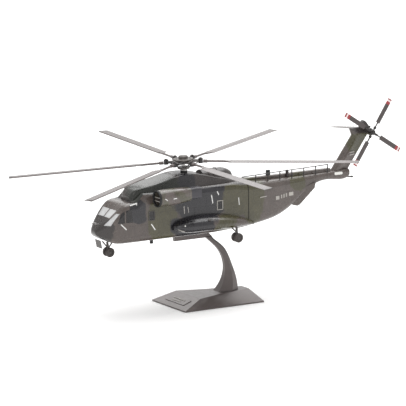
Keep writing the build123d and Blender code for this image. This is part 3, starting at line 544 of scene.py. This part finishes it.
def side_dashes():
    """White and faint service dashes on both cabin sides."""
    for label, side in SIDES:
        normal = Vector((0, side, 0))
        for name, dashes, material in (("service_dashes", DASHES, MARK),
                                       ("faint_dashes", FAINT_DASHES, MARK_PALE)):
            work = bmesh.new()
            for start, end, width in dashes:
                add_dash(work, skin_point(*start, side), skin_point(*end, side), normal, width, 0.12)
            piece(f"{label}_{name}", from_bmesh(name, work), material, smooth=False)


def window_frames():
    """Frames round the cabin windows: pale aft, dark ahead."""
    for label, side in SIDES:
        across = Vector((-side, 0, 0))
        for name, x, z, material, band in CABIN_WINDOWS:
            work = bmesh.new()
            middle = at(x, SKIN_Y * side, z)
            add_frame(work, middle, across, Vector((0, 0, 1)), WINDOW_FRAME_SIZE, band, 0.35)
            piece(f"{label}_{name}_window_frame", from_bmesh("window_frame", work), material)


def hull_hoop(name, x, half, top, low, radius, width=0.5):
    """A thin dark joint round the hull at one station."""
    work = bmesh.new()
    points = []
    for centre_y, centre_z, start in ((half - radius, top - radius, 0), (radius - half, top - radius, 1),
                                      (radius - half, low + radius, 2), (half - radius, low + radius, 3)):
        for step in range(7):
            angle = math.pi / 2 * (start + step / 6)
            points.append((centre_y + radius * math.cos(angle), centre_z + radius * math.sin(angle)))
    rows = []
    for shift_x, grow in ((0.0, -0.1), (0.0, 0.10), (width, 0.10), (width, -0.1)):
        row = []
        for y, z in points:
            away = Vector((y, z - (top + low) / 2)).normalized() * grow
            row.append(work.verts.new(at(x - shift_x, y + away.x, z + away.y)))
        rows.append(row)
    count = len(points)
    for first, second in zip(rows, rows[1:] + rows[:1]):
        for i in range(count):
            j = (i + 1) % count
            work.faces.new((first[i], first[j], second[j], second[i]))
    return piece(name, from_bmesh(name, work), SEAM)


def boom_marks():
    """A row of plain pale blocks and a dash on each side of the rear fuselage."""
    for label, side in SIDES:
        normal = Vector((-0.14, side, 0)).normalized()
        work = bmesh.new()

        def spot(x, z):
            return at(x, side * (14.62 - (-84.5 - x) * 0.175), z)

        for start, end in ((-84.8, -88.8), (-90.6, -92.0), (-93.4, -94.8), (-96.2, -97.6), (-99.8, -104.8)):
            middle = -39.6 + 0.10 * (-84.8 - start)
            add_slab(work, [spot(start, middle - 1.6), spot(end, middle - 1.6), spot(end, middle + 1.6),
                            spot(start, middle + 1.6)][::side], normal, 0.1 * MM)
        add_slab(work, [spot(-66.8, -36.2), spot(-74.4, -36.0), spot(-74.4, -36.8),
                        spot(-66.8, -37.0)][::side], normal, 0.1 * MM)
        piece(f"{label}_boom_blocks", from_bmesh("boom_blocks", work), MARK_PALE, smooth=False)


def fin_marks():
    """Two plain pale stripes on each side of the fin."""
    for label, side in SIDES:
        work = bmesh.new()
        for z in (-9.4, -11.6):
            start, end = at(-168.6, side * 2.9, z), at(-173.6, side * 2.75, z + 0.3)
            add_dash(work, start, end, Vector((0, side, 0)), 0.9, 0.12)
        piece(f"{label}_fin_stripes", from_bmesh("fin_stripes", work), MARK_PALE, smooth=False)


def nacelle_details():
    """Two vanes in the intake, a service dash and a hooked handle on each engine pod."""
    for label, side in SIDES:
        centre = at(39.6, 24.6 * side, -25.3)
        work = bmesh.new()
        for drop, half in ((1.1, 4.6), (-2.1, 4.2)):
            ends = [centre + Vector((0.6, reach, drop)) * MM for reach in (-half, half)]
            add_tube(work, ends, 0.38 * MM)
        piece(f"{label}_intake_vanes", from_bmesh("intake_vanes", work), MARK_PALE)
        work = bmesh.new()
        outward = Vector((0, side, 0))
        add_dash(work, at(30.4, 31.8 * side, -25.6), at(25.0, 31.8 * side, -25.2), outward, 0.8, 0.12)
        piece(f"{label}_pod_dash", from_bmesh("pod_dash", work), MARK, smooth=False)
        work = bmesh.new()
        hook = [at(37.0, 31.4 * side, -24.6), at(36.0, 32.1 * side, -24.9), at(34.4, 32.0 * side, -26.4)]
        add_tube(work, hook, 0.32 * MM)
        piece(f"{label}_pod_handle", from_bmesh("pod_handle", work), MARK)


def sponson_details():
    """A landing lamp, a pale lower strip and a filler cap on each sponson."""
    for label, side in SIDES:
        work = bmesh.new()
        add_turned(work, at(14.6, 27.3 * side, -51.6), (0.75, 0.66 * side, 0.05),
                   profile_mm((-0.9, 0.7), (0.2, 0.7), (0.45, 0.45), (0.5, 0.15)))
        piece(f"{label}_sponson_lamp", from_bmesh("sponson_lamp", work), LAMP_PALE)
        work = bmesh.new()
        strip = [at(20.0, 24.0 * side, -54.4), at(17.8, 26.3 * side, -55.6), at(15.4, 28.0 * side, -56.4)]
        add_tube(work, strip, 0.45 * MM)
        piece(f"{label}_sponson_strip", from_bmesh("sponson_strip", work), MARK_PALE)
        work = bmesh.new()
        add_turned(work, at(-8.0, 30.6 * side, -47.8), (0.0, 0.62 * side, 0.78),
                   profile_mm((-0.6, 1.3), (0.15, 1.3), (0.3, 1.1), (0.31, 0.3)))
        piece(f"{label}_filler_cap", from_bmesh("filler_cap", work), GEAR)


MAIN_BLADES, MAIN_PHASE, HINGE_RADIUS = 6, -31.3, 15.0
CAP_BOLTS, CAP_BOLT_RADIUS = 12, 6.6
WHEEL_BOLTS, WHEEL_BOLT_RADIUS = 5, 1.5


def rotor_details():
    """Bolts round the hub cap and nuts on the hinge pins."""
    axis = Vector(next(j["axis"] for j in frame["joints"] if j["name"] == "main_rotor_spin")).normalized()
    turn = Vector((0, 0, 1)).rotation_difference(axis).to_matrix()
    work = bmesh.new()
    for index in range(CAP_BOLTS):
        angle = 2 * math.pi * index / CAP_BOLTS
        spoke = Vector((math.cos(angle) * CAP_BOLT_RADIUS, math.sin(angle) * CAP_BOLT_RADIUS, 2.25))
        foot = HUB + turn @ spoke * MM
        add_turned(work, foot, axis, profile_mm((0.0, 0.42), (0.45, 0.42), (0.55, 0.3)), sides=6)
    piece("cap_bolts", from_bmesh("cap_bolts", work), STEEL, "main_rotor", smooth=False)
    work = bmesh.new()
    for index in range(MAIN_BLADES):
        angle = math.radians(MAIN_PHASE + 360 * index / MAIN_BLADES)
        spoke = Vector((math.cos(angle) * HINGE_RADIUS, math.sin(angle) * HINGE_RADIUS, 1.7))
        foot = HUB + turn @ spoke * MM
        add_turned(work, foot, axis, profile_mm((0.0, 1.15), (0.7, 1.15), (0.95, 0.8)), sides=6)
    nuts = from_bmesh("hinge_nuts", work)
    piece("hinge_nuts", nuts, HUB_METAL, "main_rotor", smooth=False)


def wheel_caps():
    """A dished cap with bolts on the outer face of every wheel."""
    for place in ("nose", "port", "starboard"):
        body = f"{place}_wheels"
        low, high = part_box(f"{place}_tyres")
        centre = (low + high) / 2
        work = bmesh.new()
        for side, y in ((-1, low.y), (1, high.y)):
            face = Vector((centre.x, y - side * 0.45 * MM, centre.z))
            dish = profile_mm((-0.1, 1.9), (0.12, 1.85), (0.1, 1.2), (0.3, 0.8), (0.32, 0.2))
            add_turned(work, face, (0, side, 0), dish, sides=24)
            for index in range(WHEEL_BOLTS):
                angle = 2 * math.pi * index / WHEEL_BOLTS
                spoke = Vector((math.cos(angle), 0, math.sin(angle))) * WHEEL_BOLT_RADIUS
                bolt = profile_mm((0.0, 0.2), (0.25, 0.2))
                add_turned(work, face + spoke * MM, (0, side, 0), bolt, sides=6)
        piece(f"{body}_caps", from_bmesh("wheel_caps", work), GEAR, body)


def cockpit_details():
    """A control stick and a bank of dials for each seat."""
    for label, side in SIDES:
        work = bmesh.new()
        foot = at(69.5, 8.2 * side, -53.0)
        bend, top = foot + Vector((1.2, 0, 4.0)) * MM, foot + Vector((0.2, 0, 6.4)) * MM
        add_tube(work, [foot, bend, top], 0.35 * MM)
        piece(f"{label}_control_stick", from_bmesh("control_stick", work), BLACK)
        work = bmesh.new()
        for column in range(3):
            for row in range(2):
                spot = at(76.1 - 0.35 * row, (4.6 + 3.0 * column) * side, -48.6 - 2.2 * row)
                dial = profile_mm((0.0, 0.85), (0.25, 0.85), (0.25, 0.6))
                add_turned(work, spot, (-1, 0, 0.15), dial, sides=16)
        piece(f"{label}_instruments", from_bmesh("instruments", work), MARK_PALE, smooth=False)


def stand_details():
    """Two plain raised lines on the blank title plate."""
    low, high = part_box("title_plate")
    normal = Vector((high.z - low.z, 0, high.x - low.x)).normalized()
    along = Vector((high.x - low.x, 0, low.z - high.z)).normalized()
    middle = Vector(((low.x + high.x) / 2, 0, (low.z + high.z) / 2)) + normal * 0.3 * MM
    work = bmesh.new()
    for shift, half in ((-1.4, 9.5), (1.6, 6.5)):
        spot = middle + along * shift * MM
        reach = Vector((0, half, 0)) * MM
        add_dash(work, spot - reach, spot + reach, normal, 0.9, 0.25)
    lines = from_bmesh("title_lines", work)
    piece("title_lines", lines, MARK_PALE, "stand", smooth=False)


# ---- stage -------------------------------------------------------------------------
def pale_floor():
    """The pale studio floor."""
    shader = Shader("studio_floor", roughness=0.9)
    place = shader.place()
    tone = shader.ramp(shader.noise(place, 0.02, 2.0), 0.3, 0.7, 0.985, 1.0)
    shader.put(shader.bsdf.inputs["Base Color"], shader.join(tone, tone, tone))
    shader.bsdf.inputs["Specular IOR Level"].default_value = 0.1
    half = 6.0
    mesh = bpy.data.meshes.new("floor")
    corners = [(-half, -half, 0), (half, -half, 0), (half, half, 0), (-half, half, 0)]
    mesh.from_pydata(corners, [], [(0, 1, 2, 3)])
    mesh.materials.append(shader.material)
    floor = bpy.data.objects.new("floor", mesh)
    floor.location.z = -0.0003
    bpy.context.scene.collection.objects.link(floor)


def area_light(name, place, target, size, power):
    """One soft box aimed at a point."""
    data = bpy.data.lights.new(name, "AREA")
    data.size, data.energy = size, power
    lamp = bpy.data.objects.new(name, data)
    lamp.location = place
    lamp.rotation_euler = (Vector(target) - Vector(place)).to_track_quat("-Z", "Y").to_euler()
    bpy.context.scene.collection.objects.link(lamp)


def studio():
    """White surroundings, with soft boxes overhead, behind and in front."""
    world = bpy.data.worlds.new("studio_white")
    bpy.context.scene.world = world
    world.use_nodes = True
    background = world.node_tree.nodes["Background"]
    background.inputs["Color"].default_value = (1.0, 0.995, 0.99, 1.0)
    background.inputs["Strength"].default_value = 0.78
    middle = (0.0, 0.0, 0.09)
    area_light("overhead_box", (-0.3, -0.2, 1.4), middle, 1.2, 14.0)
    area_light("rear_box", (-0.75, -1.25, 1.3), middle, 1.6, 9.0)
    area_light("front_box", (1.1, 0.9, 0.9), middle, 0.6, 2.0)


CAMERA_PLACE = Vector((2.07657, 3.54019, 0.89428))
CAMERA_TARGET = Vector((0.0126, 0.0145, 0.0914))
CAMERA_ROLL = math.radians(-0.554)
SENSOR, LENS = 36.0, 425.5


def camera():
    """A long lens from the front quarter, a little above the model."""
    data = bpy.data.cameras.new("camera")
    data.sensor_width, data.lens = SENSOR, LENS
    data.clip_start, data.clip_end = 0.1, 100.0
    obj = bpy.data.objects.new("camera", data)
    turn = (CAMERA_TARGET - CAMERA_PLACE).to_track_quat("-Z", "Y").to_matrix().to_4x4()
    obj.matrix_world = Matrix.Translation(CAMERA_PLACE) @ turn @ Matrix.Rotation(CAMERA_ROLL, 4, "Z")
    bpy.context.scene.collection.objects.link(obj)
    bpy.context.scene.camera = obj
    bpy.context.scene.view_settings.view_transform = "Standard"


dress_nodes()
side_dashes()
window_frames()
hull_hoop("hull_joint", -54.6, 18.35, -22.1, -61.35, 5.8)
boom_marks()
fin_marks()
nacelle_details()
sponson_details()
rotor_details()
wheel_caps()
cockpit_details()
stand_details()
pale_floor()
studio()
camera()
